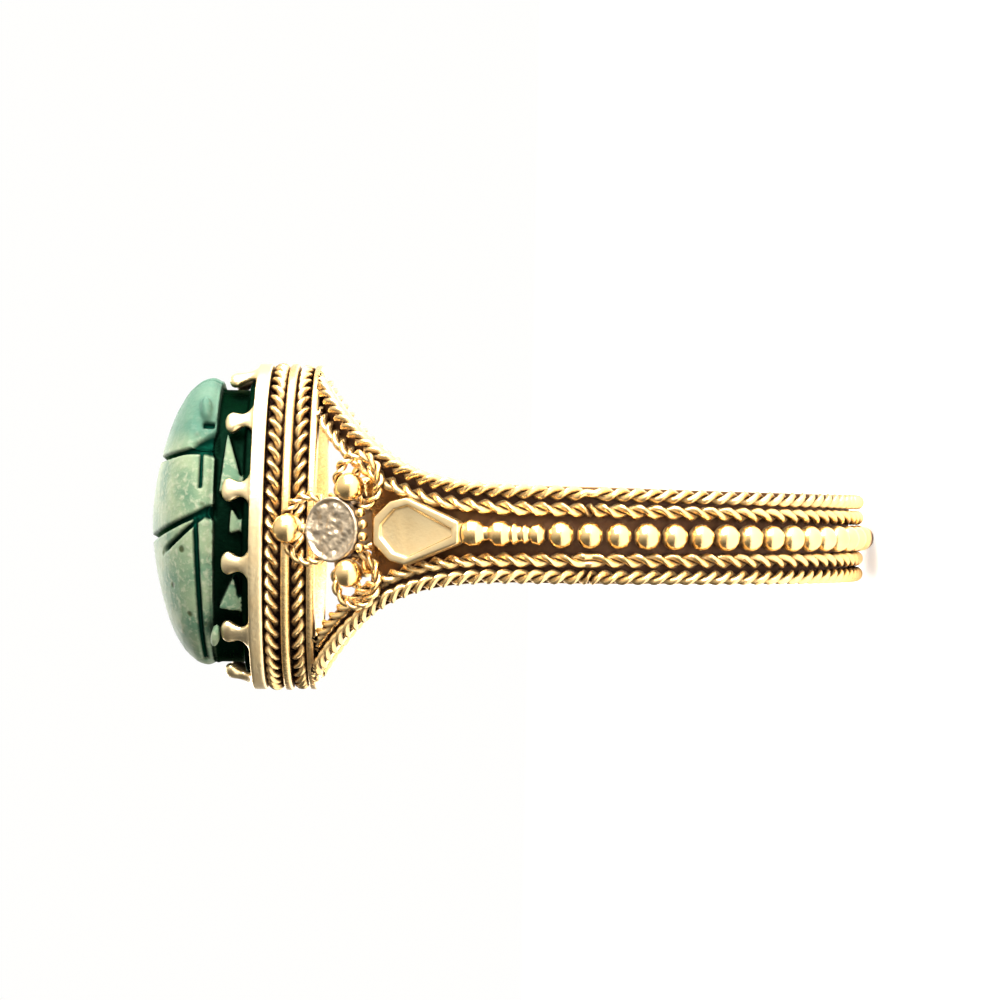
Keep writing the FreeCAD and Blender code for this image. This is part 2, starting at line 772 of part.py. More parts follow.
def make_stem(side, turn):
    """Turned stem below the leaf: bulb, neck, bulb, two rings and an end bead."""
    radius, length = size("StemRadius"), size("StemLength")
    axis = hoop_radius + radius
    level = size("BeadRowTop") + size("BeadRadius") + length / 2
    angle = math.acos((level + hoop_drop) / axis)
    profile_shares = (
        (0.00, 0.45), (0.04, 0.80), (0.12, 1.00), (0.22, 0.92), (0.29, 0.55),
        (0.34, 0.55), (0.42, 0.95), (0.52, 0.95), (0.60, 0.60), (0.64, 0.85),
        (0.69, 0.60), (0.73, 0.60), (0.77, 0.75), (0.82, 0.50), (0.86, 0.72),
        (0.94, 0.80), (1.00, 0.40),
    )
    edge = [
        Vector(radius * width, length * (0.5 - along), 0)
        for along, width in profile_shares
    ]
    ends = [Vector(0, edge[-1].y, 0), Vector(0, edge[0].y, 0)]
    face = Part.Face(Part.makePolygon(edge + ends + [edge[0]]))
    stem = face.revolve(Vector(0, 0, 0), Vector(0, 1, 0), 360)
    shaped(f"{side}_turned_stem", stem, tangent_placement(angle, axis, turn))


make_hoop()
for end_name, side_sign in (("head", 1), ("tail", -1)):
    make_shank_rope(f"{end_name}_outer_rope", 0, side_sign)
    make_shank_rope(f"{end_name}_inner_rope", 1, side_sign)
make_bead_row()
make_bezel()
make_crown()
make_scarab()
for side_name, half_turn in (("near", 0), ("far", 180)):
    make_trefoil(side_name, half_turn)
    make_leaf(side_name, half_turn)
    make_stem(side_name, half_turn)
doc.recompute()

PIECES = [
    "shank_hoop",
    "head_outer_rope", "head_inner_rope", "tail_outer_rope", "tail_inner_rope",
    "bead_row",
    "bezel_wall", "back_rim", "back_rope", "plain_wire", "front_rope",
    "seat_ledge", "claw_crown", "scarab",
]
for side_name in ("near", "far"):
    PIECES += [
        f"{side_name}_{piece}"
        for piece in (
            "trefoil_disc", "trefoil_beads", "bezel_collar", "side_collars",
            "link_granules", "leaf_plaque", "turned_stem",
        )
    ]

for item in doc.Objects:
    if "Invalid" in item.State or "Error" in item.State:
        raise RuntimeError(f"{item.Label} did not build")

os.makedirs("parts", exist_ok=True)
for label in PIECES:
    piece = doc.getObjectsByLabel(label)[0]
    if piece.Shape.isNull() or not piece.Shape.isValid():
        raise RuntimeError(f"{label} has no valid shape")
    piece.Shape.exportStep(f"parts/{label}.step")
    print(label, len(piece.Shape.Solids), round(piece.Shape.Volume, 3))
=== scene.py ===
import math

import bpy
from mathutils import Matrix, Vector


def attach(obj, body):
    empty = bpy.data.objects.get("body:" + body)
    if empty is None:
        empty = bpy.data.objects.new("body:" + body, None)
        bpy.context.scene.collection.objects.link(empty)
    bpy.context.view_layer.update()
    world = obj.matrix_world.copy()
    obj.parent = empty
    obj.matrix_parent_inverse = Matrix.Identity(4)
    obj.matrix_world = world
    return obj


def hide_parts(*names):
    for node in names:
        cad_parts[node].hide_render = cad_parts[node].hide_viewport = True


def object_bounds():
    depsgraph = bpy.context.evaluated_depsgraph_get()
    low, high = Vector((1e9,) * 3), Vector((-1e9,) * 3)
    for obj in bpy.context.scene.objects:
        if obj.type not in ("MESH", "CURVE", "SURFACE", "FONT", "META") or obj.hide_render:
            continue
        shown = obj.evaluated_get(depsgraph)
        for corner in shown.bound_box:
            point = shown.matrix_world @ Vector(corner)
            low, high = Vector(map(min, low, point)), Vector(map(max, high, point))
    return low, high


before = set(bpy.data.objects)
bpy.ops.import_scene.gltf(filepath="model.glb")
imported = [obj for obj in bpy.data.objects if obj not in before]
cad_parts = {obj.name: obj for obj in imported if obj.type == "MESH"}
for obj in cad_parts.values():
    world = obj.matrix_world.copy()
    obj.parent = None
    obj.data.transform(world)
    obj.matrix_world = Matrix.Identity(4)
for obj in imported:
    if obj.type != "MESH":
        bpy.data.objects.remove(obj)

cad_box = [list(corner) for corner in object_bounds()]

MM = 0.001
UP = Vector((0, 0, 1))

# Sizes of the ring in millimetres, the same as in the part
BORE_RADIUS = 8.675
HOOP_RADIUS = 9.02
HOOP_DROP = 0.145
HEAD_BACK = 8.695
ROPE_RADIUS = 0.26
BEAD_RADIUS = 0.43
BEAD_GAP = 0.015
BEAD_ROW_TOP = 0.73
OVAL_HALF_LENGTH = 4.975
OVAL_HALF_WIDTH = 3.80
OVAL_END_RADIUS = 3.35
BACK_ROPE_RADIUS = 0.275
BACK_ROPE_LEVEL = 9.23
FRONT_ROPE_RADIUS = 0.30
FRONT_ROPE_LEVEL = 10.095
CROWN_LEVEL = 10.395
CROWN_INNER = 0.20
CROWN_WALL = 0.35
CROWN_BAND = 0.40
CLAW_COUNT = 12
CLAW_RISE = 1.05
CLAW_LEAN = 0.40
SEAT_TOP = 10.645
FLANK_LEVEL = 11.095
DOME_LEVEL = 12.095
DOME_FORWARD = 0.14
COLLAR_WIRE = 0.15
DISC_RADIUS = 1.06
DISC_HEIGHT = 0.32
BEZEL_COLLAR_RADIUS = 1.06
SIDE_COLLAR_RADIUS = 0.84
SIDE_COLLAR_ACROSS = 1.57
SIDE_COLLAR_BACK = 0.745
BEZEL_BEAD_RADIUS = 0.49
SIDE_BEAD_RADIUS = 0.46
LINK_RADIUS = 0.16
STEM_RADIUS = 0.43
STEM_LENGTH = 2.76

# How the shoulder wires spread from the back of the shank to the head, outer wire first
BAND_HALF_WIDTH = 1.47
BAND_TAPER = 0.0105
FLARE_START = 1.0
FLARE_POWER = 3.75
FLARE_SPREADS = (3.45, 2.95)

# The trefoil's place and lean on the shoulder
TREFOIL_OUT = 6.00
TREFOIL_UP = 7.81
TREFOIL_TILT = math.radians(35)

# The bezel's oval has two flat side arcs and two round end arcs that meet at OVAL_TURN
OVAL_SIDE_RADIUS = (
    OVAL_HALF_LENGTH ** 2 - 2 * OVAL_HALF_LENGTH * OVAL_END_RADIUS + OVAL_HALF_WIDTH ** 2
) / (2 * (OVAL_HALF_WIDTH - OVAL_END_RADIUS))
OVAL_SIDE_IN = OVAL_SIDE_RADIUS - OVAL_HALF_WIDTH
OVAL_END_UP = OVAL_HALF_LENGTH - OVAL_END_RADIUS
OVAL_TURN = math.atan2(OVAL_END_UP, OVAL_SIDE_IN)


# Bench work: small steps that every piece shares


def put_down_everything():
    """Nothing is selected and nothing is open for editing."""
    if bpy.context.object and bpy.context.object.mode != "OBJECT":
        bpy.ops.object.mode_set(mode="OBJECT")
    bpy.ops.object.select_all(action="DESELECT")


def take_up(piece):
    """Only this piece is selected and active."""
    put_down_everything()
    piece.select_set(True)
    bpy.context.view_layer.objects.active = piece


def open_up(piece, pick="SELECT"):
    """The piece is open for editing, with all of it picked or none."""
    take_up(piece)
    bpy.ops.object.mode_set(mode="EDIT")
    bpy.ops.mesh.select_all(action=pick)


def shut():
    """Editing ends."""
    bpy.ops.object.mode_set(mode="OBJECT")


def settle(piece):
    """The piece's place, turn and scale go into its mesh."""
    take_up(piece)
    bpy.ops.object.transform_apply(location=True, rotation=True, scale=True)


def work_in(piece, kind, **settings):
    """Add a modifier with its settings and apply it."""
    take_up(piece)
    modifier = piece.modifiers.new(kind.lower(), kind)
    for name, value in settings.items():
        setattr(modifier, name, value)
    bpy.ops.object.modifier_apply(modifier=modifier.name)


def close_up(piece, gap=0.001):
    """Merge doubled points and turn all faces outwards."""
    open_up(piece)
    bpy.ops.mesh.remove_doubles(threshold=gap * MM)
    bpy.ops.mesh.normals_make_consistent(inside=False)
    shut()


def slice_off(piece, place, normal):
    """Cut away what lies past a plane and close the cut."""
    open_up(piece)
    bpy.ops.mesh.bisect(
        plane_co=[part * MM for part in place], plane_no=normal, use_fill=True, clear_outer=True,
    )
    shut()


def draw_out(step, scale, centre):
    """Extrude what is picked by a step in millimetres and scale it about a centre."""
    bpy.ops.mesh.extrude_region_move(TRANSFORM_OT_translate={"value": [part * MM for part in step]})
    bpy.ops.transform.resize(value=scale, center_override=[part * MM for part in centre])


def take_away(piece, cutter):
    """Cut one solid's form out of another and drop the cutter."""
    work_in(piece, "BOOLEAN", operation="DIFFERENCE", object=cutter, solver="EXACT")
    bpy.data.objects.remove(cutter)


def soften(piece, voxel, rounds):
    """Run joined parts into one skin and round its edges, as pouring and wear do."""
    work_in(piece, "REMESH", mode="VOXEL", voxel_size=voxel * MM, adaptivity=0)
    work_in(piece, "SMOOTH", factor=0.5, iterations=rounds)


def ease_edges(piece, width, segments=3, sharp=35):
    """Take the edges that turn by more than sharp degrees off a piece."""
    work_in(
        piece, "BEVEL", width=width * MM, segments=segments, limit_method="ANGLE",
        angle_limit=math.radians(sharp), use_clamp_overlap=True,
    )
    return piece


def own_copy(piece):
    """A second piece with its own mesh."""
    twin = piece.copy()
    twin.data = piece.data.copy()
    bpy.context.scene.collection.objects.link(twin)
    return twin


def join_up(pieces):
    """Several parts become one piece."""
    put_down_everything()
    for part in pieces:
        part.select_set(True)
    bpy.context.view_layer.objects.active = pieces[0]
    bpy.ops.object.join()
    return bpy.context.object


def casting_of(name):
    """A merged copy of a CAD node, to be worked on as a raw casting."""
    raw = own_copy(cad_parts[name])
    raw.parent = None
    for key in list(raw.keys()):
        del raw[key]
    raw.matrix_world = Matrix.Identity(4)
    close_up(raw, 0.002)
    return raw


def hand_over(piece, name, finish, nodes, smooth=40):
    """Name the piece, give it its finish and set it in the frame."""
    settle(piece)
    piece.name = name
    piece.data.name = name
    piece.data.materials.clear()
    piece.data.materials.append(finish)
    take_up(piece)
    bpy.ops.object.shade_smooth_by_angle(angle=math.radians(smooth))
    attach(piece, "root")
    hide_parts(*nodes)


# Lines that the wires follow, in millimetres


def wire_across(level, row):
    """How far the outer (0) or inner (1) wire lies from the shank's middle at a height."""
    flare = (max(0.0, level - FLARE_START) / (HEAD_BACK - FLARE_START)) ** FLARE_POWER
    inset = (1 + 2 * row) * ROPE_RADIUS
    taper = BAND_TAPER * (level + BORE_RADIUS)
    return BAND_HALF_WIDTH - inset + taper + FLARE_SPREADS[row] * flare


def shank_line(row, side, steps=360):
    """The centre line of one twisted wire on the hoop, from shoulder to shoulder."""
    circle = HOOP_RADIUS + ROPE_RADIUS
    start = math.acos((HEAD_BACK + ROPE_RADIUS / 2 + HOOP_DROP) / circle)
    points = []
    for index in range(steps + 1):
        angle = start + (2 * math.pi - 2 * start) * index / steps
        level = circle * math.cos(angle) - HOOP_DROP
        points.append((circle * math.sin(angle), side * wire_across(level, row), level))
    return points


def oval_line(offset, level, steps=40):
    """The bezel's oval, moved out by offset, as a closed line."""
    side, end = OVAL_SIDE_RADIUS + offset, OVAL_END_RADIUS + offset
    quarter = []
    for index in range(steps + 1):
        angle = OVAL_TURN * index / steps
        quarter.append((-OVAL_SIDE_IN + side * math.cos(angle), side * math.sin(angle)))
    for index in range(1, steps + 1):
        angle = OVAL_TURN + (math.pi / 2 - OVAL_TURN) * index / steps
        quarter.append((end * math.cos(angle), OVAL_END_UP + end * math.sin(angle)))
    half = quarter + [(-x, y) for x, y in reversed(quarter[:-1])]
    whole = half + [(x, -y) for x, y in reversed(half[1:-1])]
    return [(x, y, level) for x, y in whole]


def round_line(centre, radius, steps=96):
    """A closed circle in the trefoil's plane."""
    points = []
    for index in range(steps):
        angle = 2 * math.pi * index / steps
        points.append((centre[0] + radius * math.cos(angle), centre[1] + radius * math.sin(angle), 0))
    return points


def line_length(points, closed):
    """The length of a line, with its closing step if it is closed."""
    ends = points[1:] + (points[:1] if closed else [])
    return sum((Vector(b) - Vector(a)).length for a, b in zip(points, ends))


def spot_on(points, share):
    """A point of a closed line and the way it runs there, at a share of its length."""
    left = share * line_length(points, True)
    for here, there in zip(points, points[1:] + points[:1]):
        step = Vector(there) - Vector(here)
        if left <= step.length:
            break
        left -= step.length
    return Vector(here) + step * (left / step.length), step.normalized()


def lay_line(points, closed):
    """A curve object along points."""
    data = bpy.data.curves.new("line", "CURVE")
    data.dimensions = "3D"
    data.twist_mode = "Z_UP"
    spline = data.splines.new("POLY")
    spline.points.add(len(points) - 1)
    for dot, (x, y, z) in zip(spline.points, points):
        dot.co = (x * MM, y * MM, z * MM, 1)
    spline.use_cyclic_u = closed
    line = bpy.data.objects.new("line", data)
    bpy.context.scene.collection.objects.link(line)
    return line


# Twisted wire: two round wires. Each takes these shares of the twist's radius.
WIRE_RADIUS_SHARE = 0.48
WIRE_PLACE_SHARE = 0.47
WIRE_SIDES = 10
TURN_STEPS = 14

# Length of one strand as it shows, half a turn, in millimetres
SHANK_STRANDS = (0.52, 0.60)
HEAD_STRAND = 0.50
COLLAR_STRAND = 0.44


def twist_pair(length, radius, strand, hand):
    """Two round wires twisted together, lying straight along X."""
    turns = max(2, round(length / (2 * strand)))
    put_down_everything()
    ends = []
    for side in (1, -1):
        bpy.ops.mesh.primitive_circle_add(
            vertices=WIRE_SIDES, radius=radius * WIRE_RADIUS_SHARE * MM,
            location=(0, side * radius * WIRE_PLACE_SHARE * MM, 0), rotation=(0, math.pi / 2, 0),
        )
        settle(bpy.context.object)
        ends.append(bpy.context.object)
    rope = join_up(ends)
    work_in(
        rope, "SCREW", axis="X", angle=hand * 2 * math.pi, screw_offset=length / turns * MM,
        iterations=turns, steps=TURN_STEPS, render_steps=TURN_STEPS,
    )
    return rope


def wind(points, radius, strand, hand, closed):
    """Twisted wire bent along a line."""
    line = lay_line(points, closed)
    rope = twist_pair(line_length(points, closed), radius, strand, hand)
    work_in(rope, "CURVE", object=line, deform_axis="POS_X")
    bpy.data.objects.remove(line)
    close_up(rope, 0.02)
    if not closed:
        open_up(rope, "DESELECT")
        bpy.ops.mesh.select_non_manifold()
        bpy.ops.mesh.fill_holes(sides=8)
        shut()
    return rope


def shank_rope(row, side):
    """One twisted wire of the shank, filed flush under the head."""
    hand = (-1, 1)[row]
    rope = wind(shank_line(row, side), ROPE_RADIUS, SHANK_STRANDS[row], hand, False)
    slice_off(rope, (0, 0, HEAD_BACK), UP)
    return rope


def collar_piece(centre, radius):
    """Ring of twisted wire, a little fuller than the CAD's plain one."""
    return wind(round_line(centre, radius), COLLAR_WIRE * 1.25, COLLAR_STRAND, 1, True)


# Granules. The foot is where a granule was soldered down, as shares of its radius.
FOOT_LEVEL = -0.72
FOOT_PRESS = 0.35
FOOT_SPREAD = 1.12


def granule(radius, faces=3):
    """A gold granule, slightly flattened and spread at its foot."""
    put_down_everything()
    bpy.ops.mesh.primitive_ico_sphere_add(subdivisions=faces, radius=radius * MM)
    bead = bpy.context.object
    for point in bead.data.vertices:
        height = point.co.z / (radius * MM)
        if height < FOOT_LEVEL:
            point.co.z = (FOOT_LEVEL + (height - FOOT_LEVEL) * FOOT_PRESS) * radius * MM
            point.co.x *= FOOT_SPREAD
            point.co.y *= FOOT_SPREAD
    return bead


def set_granule(master, place, outward, size=1.0):
    """A copy of the granule at a place, its foot turned inwards."""
    bead = own_copy(master)
    bead.matrix_world = (
        Matrix.Translation(Vector(place) * MM)
        @ Vector(outward).to_track_quat("Z", "Y").to_matrix().to_4x4()
        @ Matrix.Scale(size, 4)
    )
    settle(bead)
    return bead


def bead_row_piece():
    """Row of granules round the shank, some a little smaller than the others."""
    circle = HOOP_RADIUS + BEAD_RADIUS
    first = math.acos((BEAD_ROW_TOP + HOOP_DROP) / circle)
    span = 2 * (math.pi - first)
    gaps = int(span * circle / (2 * BEAD_RADIUS + BEAD_GAP))
    master = granule(BEAD_RADIUS)
    beads = []
    for index in range(gaps + 1):
        angle = first + span * index / gaps
        outward = (math.sin(angle), 0, math.cos(angle))
        place = (circle * outward[0], 0, circle * outward[2] - HOOP_DROP)
        size = (1.0, 0.98, 0.96)[index * 7 % 3]
        beads.append(set_granule(master, place, outward, size))
    bpy.data.objects.remove(master)
    return join_up(beads)


# The scarab: shapes in millimetres, turns in degrees

# Each stage of the dome: share of its height, share of its outline
DOME_HEIGHT = 2.33
DOME_SHARES = (
    (0.00, 0.955), (0.07, 0.982), (0.14, 0.992), (0.22, 0.985), (0.30, 0.970), (0.38, 0.940),
    (0.47, 0.900), (0.55, 0.845), (0.63, 0.780), (0.70, 0.705), (0.77, 0.610), (0.83, 0.515),
    (0.89, 0.400), (0.93, 0.310), (0.96, 0.225), (0.985, 0.130), (1.00, 0.040),
)
# A place on the head's slope and the way the slope faces
BROW_PLACE = (0, 4.47, 13.17)
BROW_NORMAL = (0, 0.44, 0.90)
# The block that trims the dome beside the head: size, turn, and its inner corner
CHEEK_SIZE = 5.0
CHEEK_TURN = 22
CHEEK_CORNER = (2.95, 2.62)
CHEEK_FOOT = DOME_LEVEL - 0.05
# Legs: place along the scarab, level, half sizes, lean
LEG_DEPTH = 0.20
LEGS = (
    (1.78, 11.54, (0.26, 1.36, 0.48), 6),
    (0.12, 11.33, (0.24, 0.55, 0.32), 16),
    (-2.30, 11.44, (0.26, 0.80, 0.44), -6),
)
# Hind foot, eye and cheek: half sizes, place, lean, turn
LUMPS = (
    ((0.26, 0.42, 0.16), (2.86, -3.62, 11.98), -10, -30),
    ((0.30, 0.50, 0.20), (2.36, 3.86, 12.47), 6, 24),
    ((0.20, 0.22, 0.17), (2.62, 3.05, 12.72), 0, 0),
)


def lift(outline, stages):
    """A solid raised from an outline. A stage is a level, a scale and a shift to the head."""
    solid = lay_line(outline, True)
    take_up(solid)
    bpy.ops.object.convert(target="MESH")
    solid = bpy.context.object
    open_up(solid)
    bpy.ops.mesh.edge_face_add()
    at, scale, ahead = outline[0][2], 1.0, 0.0
    for level, reach, shift in stages:
        growth = reach / scale
        draw_out((0, shift - ahead, level - at), (growth, growth, 1), (0, shift, level))
        at, scale, ahead = level, reach, shift
    shut()
    close_up(solid)
    return solid


def shape_to(piece, size, place, lean, turn):
    """Stretch, lean and turn a small part and set it in its place."""
    piece.scale = size
    piece.rotation_euler = (math.radians(lean), 0, math.radians(turn))
    piece.location = Vector(place) * MM
    settle(piece)
    return piece


def lump(side, size, place, lean, turn):
    """A rounded lump of stone on one side of the scarab."""
    put_down_everything()
    bpy.ops.mesh.primitive_uv_sphere_add(segments=24, ring_count=16, radius=MM)
    return shape_to(bpy.context.object, size, (side * place[0], place[1], place[2]), lean, side * turn)


def leg(side, along, level, size, lean):
    """A leg: a three-cornered block on the flank, its point to the head."""
    put_down_everything()
    bpy.ops.mesh.primitive_cylinder_add(vertices=3, radius=MM, depth=2 * MM, rotation=(0, math.pi / 2, 0))
    block = bpy.context.object
    settle(block)
    arc = OVAL_SIDE_RADIUS - LEG_DEPTH
    angle = math.asin(along / arc)
    place = (side * (arc * math.cos(angle) - OVAL_SIDE_IN), along, level)
    return shape_to(block, size, place, lean, side * math.degrees(angle))


def cheek_cutter(side):
    """A block that takes one side off the dome beside the head."""
    put_down_everything()
    half = CHEEK_SIZE / 2
    bpy.ops.mesh.primitive_cube_add(size=CHEEK_SIZE * MM, location=(side * half * MM, half * MM, 0))
    block = bpy.context.object
    settle(block)
    across, along = CHEEK_CORNER
    return shape_to(block, (1, 1, 1), (side * across, along, CHEEK_FOOT + half), 0, side * CHEEK_TURN)


def scarab_blank():
    """The stone before carving: base slab, flank, dome, legs, feet and eyes."""
    base = lift(oval_line(0.10, SEAT_TOP), [(FLANK_LEVEL - 0.06, 1, 0), (FLANK_LEVEL, 0.985, 0)])
    flank = lift(oval_line(-0.36, FLANK_LEVEL - 0.1), [(DOME_LEVEL + 0.2, 1, 0)])
    dome = lift(
        oval_line(-0.06, DOME_LEVEL - 0.02),
        [(DOME_LEVEL + share * DOME_HEIGHT, reach, DOME_FORWARD) for share, reach in DOME_SHARES],
    )
    slice_off(dome, BROW_PLACE, BROW_NORMAL)
    for side in (-1, 1):
        take_away(dome, cheek_cutter(side))
    parts = [base, flank, dome]
    for side in (-1, 1):
        parts += [leg(side, *row) for row in LEGS]
        parts += [lump(side, *row) for row in LUMPS]
    return join_up(parts)


# Carving. Each groove over the back: its place along the scarab at the dome's foot, how far it
# runs back as it rises and with what bend, its half width, and how it widens at the foot.
NECK = (2.66, 0.26, 1.0, 0.10, 0.34, 1.5)
FRONT_WING = (0.46, 0.38, 1.25, 0.12, 0.16, 3)
BACK_WING = (0.44, 0.86, 1.05, 0.12, 0.10, 3)
GROOVE_FOOT = 12.30
WIDE_BELOW = 13.2
BACK_WING_TOP = 13.85
BACK_WING_FADE = 0.25
CUT_DEPTH = 0.20


def held(value):
    """A value kept between 0 and 1."""
    return max(0.0, min(1.0, value))


def cut(distance, half):
    """A rounded groove: deepest on its line, nothing past its half width."""
    return max(0.0, 1 - (abs(distance) / half) ** 2)


def groove_over(groove, along, level):
    """The depth of a groove that runs up and back over the dome."""
    start, back, bend, half, wider, spread = groove
    rise, low = max(0.0, level - GROOVE_FOOT), held(WIDE_BELOW - level)
    return cut(along - (start - back * rise ** bend), half + wider * low ** spread)


def groove_depth(spot):
    """How deep the carver cut at a place of the surface, from 0 to 1."""
    across, along, level = abs(spot.x), spot.y, spot.z
    if level < DOME_LEVEL - 0.1:
        return 0.0
    depths = [groove_over(groove, along, level) for groove in (NECK, FRONT_WING)]
    depths.append(groove_over(BACK_WING, along, level) * held((BACK_WING_TOP - level) / BACK_WING_FADE))
    if along < -0.35:
        depths.append(cut(across, 0.11))
    if 1.25 < along < 2.45:
        depths.append(cut(level - 12.53, 0.08))
    elif -4.5 < along < 0.3:
        depths.append(cut(level - 12.66 - 0.052 * (along + 0.15), 0.12))
    if 12.15 < level < 12.55:
        depths.append(0.9 * cut(along - 3.34, 0.11))
    if along > 2.9:
        depths.append(0.6 * cut(across - 0.55 - 0.10 * (along - 3.0), 0.09))
    return max(depths)


def outside_oval(across, along):
    """How far a place lies outside the bezel's oval."""
    across, along = abs(across), abs(along)
    if math.atan2(along, across + OVAL_SIDE_IN) <= OVAL_TURN:
        return math.hypot(across + OVAL_SIDE_IN, along) - OVAL_SIDE_RADIUS
    return math.hypot(across, along - OVAL_END_UP) - OVAL_END_RADIUS


def flank_shade(spot):
    """Painted shade on the slab's edge and on the flank between the legs, from 0 to 1."""
    if SEAT_TOP + 0.08 < spot.z < FLANK_LEVEL + 0.04:
        return 1.0
    if not FLANK_LEVEL < spot.z < DOME_LEVEL + 0.10:
        return 0.0
    return held((-0.20 - outside_oval(spot.x, spot.y)) / 0.12)


def carve_scarab():
    """Cut the grooves into the blank and mark the cuts and the painted shade for the glaze."""
    stone = scarab_blank()
    soften(stone, 0.055, 5)
    cuts = stone.vertex_groups.new(name="cuts")
    depths, shades = [], []
    for point in stone.data.vertices:
        spot = point.co / MM
        depth = groove_depth(spot)
        depths.append(depth)
        shades.append(flank_shade(spot))
        if depth > 0:
            cuts.add([point.index], depth, "REPLACE")
    work_in(stone, "DISPLACE", strength=-CUT_DEPTH * MM, mid_level=0, vertex_group="cuts")
    work_in(stone, "SMOOTH", factor=0.4, iterations=2)
    for name, values in (("cut_depth", depths), ("flank_shade", shades)):
        mark = stone.data.attributes.new(name, "FLOAT", "POINT")
        mark.data.foreach_set("value", values)
    return stone


# Each stage of a claw from its foot to its tip: height, width and thickness in millimetres
CLAW_STAGES = (
    (0.00, 1.50, 0.30), (0.09, 1.05, 0.29), (0.22, 0.68, 0.30), (0.38, 0.54, 0.33),
    (0.52, 0.60, 0.38), (0.66, 0.80, 0.46), (0.82, 0.92, 0.52), (0.96, 0.78, 0.46),
    (1.06, 0.42, 0.26),
)


def claw():
    """One claw before it is leaned in: wide foot, thin neck and a round blob at the tip."""
    at, wide, thick = CLAW_STAGES[0]
    put_down_everything()
    bpy.ops.mesh.primitive_plane_add(size=MM)
    piece = bpy.context.object
    piece.scale = (thick, wide, 1)
    settle(piece)
    open_up(piece)
    for level, width, depth in CLAW_STAGES[1:]:
        draw_out((0, 0, level - at), (depth / thick, width / wide, 1), (0, 0, level))
        at, wide, thick = level, width, depth
    shut()
    close_up(piece)
    work_in(piece, "SUBSURF", levels=2, render_levels=2)
    return piece


def cast_crown():
    """Band with twelve claws, run together like a casting and a little uneven."""
    outer, band_top = CROWN_INNER + CROWN_WALL, CROWN_LEVEL + CROWN_BAND
    crown = lift(oval_line(outer, CROWN_LEVEL), [(band_top + 0.06, 1, 0)])
    take_away(crown, lift(oval_line(CROWN_INNER, CROWN_LEVEL - 0.5), [(band_top + 0.5, 1, 0)]))
    master = claw()
    parts = [crown]
    middle = oval_line(CROWN_INNER + CROWN_WALL / 2, band_top)
    for index in range(CLAW_COUNT):
        place, run = spot_on(middle, (index + 0.5) / CLAW_COUNT)
        lean = math.atan2(CLAW_LEAN, CLAW_RISE) * (1 + 0.12 * math.sin(index * 2.4))
        width = 1 + 0.04 * math.sin(index * 5.1)
        upward = (UP - run.cross(UP) * math.tan(lean)).normalized()
        stand = Matrix((run.cross(upward), run, upward)).transposed().to_4x4()
        stand.translation = place * MM
        twin = own_copy(master)
        twin.matrix_world = stand @ Matrix.Diagonal((1, width, 1, 1))
        settle(twin)
        parts.append(twin)
    bpy.data.objects.remove(master)
    whole = join_up(parts)
    soften(whole, 0.045, 8)
    return whole


# Shoulder ornament. Places on a shoulder are matrices: X across, Y to the head, Z outwards.


def stand_at(origin, headward, outward):
    """A place from its origin in millimetres and two of its ways."""
    place = Matrix((headward.cross(outward), headward, outward)).transposed().to_4x4()
    place.translation = origin * MM
    return place


def trefoil_place():
    """The middle of the near trefoil, leaned with the shoulder."""
    outward = Vector((math.cos(TREFOIL_TILT), 0, math.sin(TREFOIL_TILT)))
    headward = Vector((-math.sin(TREFOIL_TILT), 0, math.cos(TREFOIL_TILT)))
    return stand_at(Vector((TREFOIL_OUT, 0, TREFOIL_UP)), headward, outward)


def stem_place():
    """The middle of the near stem, between the leaf and the row of beads."""
    axis = HOOP_RADIUS + STEM_RADIUS
    level = BEAD_ROW_TOP + BEAD_RADIUS + STEM_LENGTH / 2
    angle = math.acos((level + HOOP_DROP) / axis)
    outward = Vector((math.sin(angle), 0, math.cos(angle)))
    headward = Vector((-math.cos(angle), 0, math.sin(angle)))
    origin = Vector((axis * math.sin(angle), 0, axis * math.cos(angle) - HOOP_DROP))
    return stand_at(origin, headward, outward)


def place_on(piece, place):
    """Carry a piece made at the origin to its place."""
    piece.matrix_world = place @ piece.matrix_world
    settle(piece)
    return piece


def disc_piece():
    """Round disc with a rounded edge and a rough, hammered face."""
    put_down_everything()
    bpy.ops.mesh.primitive_cylinder_add(
        vertices=64, radius=DISC_RADIUS * MM, depth=DISC_HEIGHT * MM,
        location=(0, 0, (COLLAR_WIRE + DISC_HEIGHT / 2) * MM),
    )
    disc = bpy.context.object
    settle(disc)
    ease_edges(disc, 0.10, 3, 50)
    work_in(disc, "REMESH", mode="VOXEL", voxel_size=0.035 * MM, adaptivity=0)
    face = disc.vertex_groups.new(name="face")
    top, rim, fade = COLLAR_WIRE + DISC_HEIGHT, 0.93, 0.10
    for point in disc.data.vertices:
        out = math.hypot(point.co.x, point.co.y) / MM / DISC_RADIUS
        if point.co.z / MM > top - 0.06 and out < rim:
            face.add([point.index], min(1.0, (rim - out) / fade), "REPLACE")
    dents = bpy.data.textures.new("dents", "CLOUDS")
    dents.noise_scale = 0.34 * MM
    work_in(disc, "DISPLACE", strength=-0.20 * MM, mid_level=0.10, vertex_group="face", texture=dents)
    work_in(disc, "SMOOTH", factor=0.4, iterations=2)
    return disc


# Each stage of the stem from the leaf's end: share of its length, share of its radius
STEM_STAGES = (
    (0.00, 0.45), (0.04, 0.80), (0.12, 1.00), (0.22, 0.92), (0.29, 0.55),
    (0.34, 0.55), (0.42, 0.95), (0.52, 0.95), (0.60, 0.60), (0.64, 0.85),
    (0.69, 0.60), (0.73, 0.60), (0.77, 0.75), (0.82, 0.50), (0.86, 0.72),
    (0.94, 0.80), (1.00, 0.40),
)


